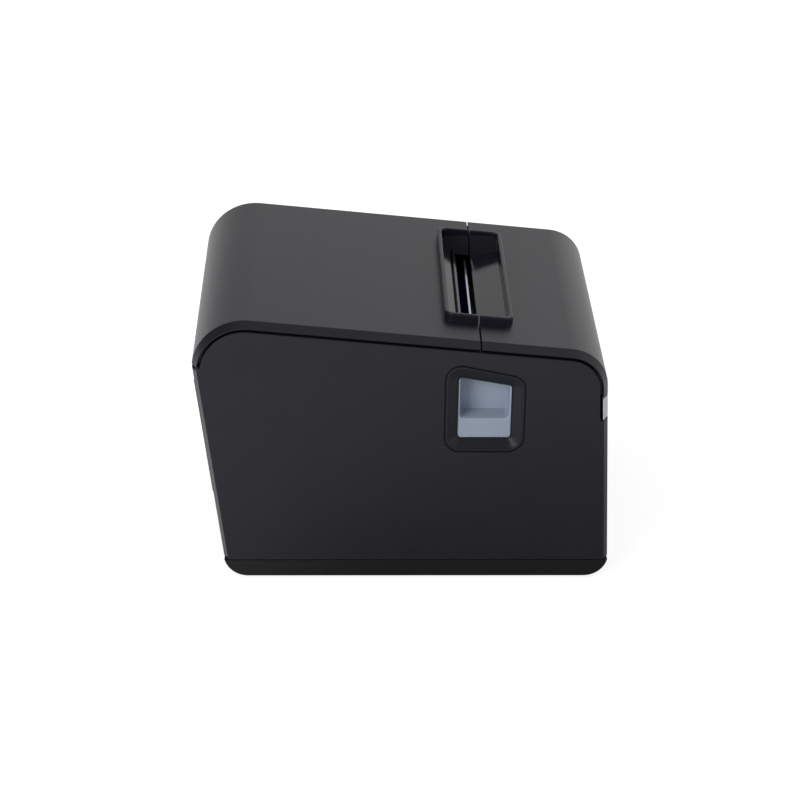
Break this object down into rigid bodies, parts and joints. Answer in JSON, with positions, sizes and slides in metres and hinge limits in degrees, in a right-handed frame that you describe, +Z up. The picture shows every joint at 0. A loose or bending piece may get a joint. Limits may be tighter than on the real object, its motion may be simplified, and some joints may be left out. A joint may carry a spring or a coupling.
{
  "type": "receipt printer",
  "caption": "Desktop thermal receipt printer with a hinged roll lid, side release lever, raised paper exit with cutter, and a light trim band across the front.",
  "frame": {"origin": "on the standing surface, under the middle of the outline", "axes": "+Z up, front faces -Y, release lever on the -X side"},
  "size_m": [0.145, 0.1952, 0.1342],
  "materials": {
    "case_dark": "fine-grained moulded plastic, near black",
    "cover_dark": "fine-grained moulded plastic, dark grey",
    "trim_light": "smooth light grey plastic",
    "lever_grey": "smooth blue-grey plastic",
    "inner_black": "black moulded plastic",
    "rubber_black": "black rubber",
    "steel": "bright steel",
    "motor_case": "zinc-plated steel can",
    "gear_nylon": "natural nylon",
    "sink_aluminium": "plain aluminium",
    "head_glaze": "glazed ceramic",
    "board_green": "solder-masked circuit board",
    "chip_black": "moulded chip package",
    "bushing_white": "low-friction plastic",
    "lens_clear": "clear light pipe"
  },
  "bodies": {
    "base": {"base_tray": "case_dark", "board_capacitors": "sink_aluminium", "board_chips": "chip_black", "board_screws": "steel", "case_screws": "steel", "connector_plate": "steel", "cutter_bed": "steel", "cutter_motor": "motor_case", "drawer_socket": "inner_black", "feed_motor": "motor_case", "frame_floor": "steel", "frame_left": "steel", "frame_right": "steel", "frame_screws": "steel", "front_cover": "cover_dark", "front_trim": "trim_light", "gear_studs": "steel", "head_pivot_shaft": "steel", "head_springs": "steel", "hinge_pins": "steel", "indicator_lenses": "lens_clear", "lan_socket": "steel", "lever_spring": "steel", "lid_switch": "inner_black", "main_board": "board_green", "main_case": "case_dark", "panel_board": "board_green", "panel_switch": "inner_black", "paper_sensor": "inner_black", "power_socket": "inner_black", "power_switch": "inner_black", "rear_panel": "case_dark", "roll_bucket": "inner_black", "rubber_feet": "rubber_black", "spring_bracket": "steel", "usb_socket": "inner_black"},
    "lid": {"lid_cover": "cover_dark", "lid_liner": "inner_black", "fixed_blade": "steel", "platen_bushings": "bushing_white"},
    "platen": {"platen_shaft": "steel", "platen_rubber": "rubber_black", "platen_gear": "gear_nylon"},
    "idler": {"idler_gear": "gear_nylon"},
    "reduction": {"reduction_gear": "gear_nylon"},
    "feed_rotor": {"feed_pinion": "steel"},
    "head": {"head_heat_sink": "sink_aluminium", "thermal_head": "head_glaze"},
    "lever": {"release_lever": "lever_grey"},
    "latch": {"latch_shaft": "steel", "latch_hooks": "steel", "latch_crank": "steel"},
    "blade": {"moving_blade": "steel", "cutter_racks": "steel"},
    "cutter_drive": {"cutter_shaft": "steel", "cutter_pinions": "steel", "cutter_gear": "gear_nylon"},
    "cutter_rotor": {"cutter_motor_pinion": "steel"},
    "button": {"feed_button": "inner_black"},
    "rocker": {"power_rocker": "inner_black"}
  },
  "joints": [
    {"name": "lid_hinge", "type": "hinge", "parent": "base", "child": "lid", "pos_m": [0, 0.0963, 0.1122], "axis": [-1, 0, 0], "range_deg": [0, 85]},
    {"name": "platen_spin", "type": "hinge", "parent": "lid", "child": "platen", "pos_m": [0, -0.02275, 0.0985], "axis": [1, 0, 0], "continuous": true},
    {"name": "idler_spin", "type": "hinge", "parent": "base", "child": "idler", "pos_m": [0.053, -0.02088, 0.08229], "axis": [1, 0, 0], "continuous": true},
    {"name": "reduction_spin", "type": "hinge", "parent": "base", "child": "reduction", "pos_m": [0.055, -0.03201, 0.07931], "axis": [1, 0, 0], "continuous": true},
    {"name": "feed_motor_spin", "type": "hinge", "parent": "base", "child": "feed_rotor", "pos_m": [0.05, -0.04614, 0.07241], "axis": [1, 0, 0], "continuous": true},
    {"name": "head_pivot", "type": "hinge", "parent": "base", "child": "head", "pos_m": [0, -0.02966, 0.08526], "axis": [1, 0, 0], "range_deg": [0, 3], "stiffness_Nm_per_rad": 2, "deforming": ["head_springs"]},
    {"name": "lever_slide", "type": "slide", "parent": "base", "child": "lever", "axis": [0, 0, -1], "range_m": [0, 0.005], "stiffness_N_per_m": 600, "deforming": ["lever_spring"]},
    {"name": "latch_swing", "type": "hinge", "parent": "base", "child": "latch", "pos_m": [0, -0.024, 0.072], "axis": [1, 0, 0], "range_deg": [0, 13.2]},
    {"name": "cutter_slide", "type": "slide", "parent": "base", "child": "blade", "axis": [0, 1, 0], "range_m": [0, 0.007]},
    {"name": "cutter_shaft_turn", "type": "hinge", "parent": "base", "child": "cutter_drive", "pos_m": [0, -0.056, 0.1057], "axis": [-1, 0, 0], "range_deg": [0, 84]},
    {"name": "cutter_motor_turn", "type": "hinge", "parent": "base", "child": "cutter_rotor", "pos_m": [0.048, -0.06882, 0.09888], "axis": [1, 0, 0], "range_deg": [0, 168]},
    {"name": "feed_button_press", "type": "slide", "parent": "base", "child": "button", "axis": [0, 1, 0], "range_m": [0, 0.0008], "stiffness_N_per_m": 400},
    {"name": "power_rock", "type": "hinge", "parent": "base", "child": "rocker", "pos_m": [-0.0375, 0.0715, 0.02465], "axis": [-1, 0, 0], "range_deg": [0, 18]}
  ],
  "couplings": [
    {"joint": "idler_spin", "follows": "platen_spin", "ratio": -1.25},
    {"joint": "reduction_spin", "follows": "platen_spin", "ratio": 2.1429},
    {"joint": "feed_motor_spin", "follows": "platen_spin", "ratio": -7.1429},
    {"joint": "latch_swing", "follows": "lever_slide", "rad_per_m": 45.455},
    {"joint": "cutter_shaft_turn", "follows": "cutter_slide", "rad_per_m": 208.33},
    {"joint": "cutter_motor_turn", "follows": "cutter_slide", "rad_per_m": 416.67}
  ]
}
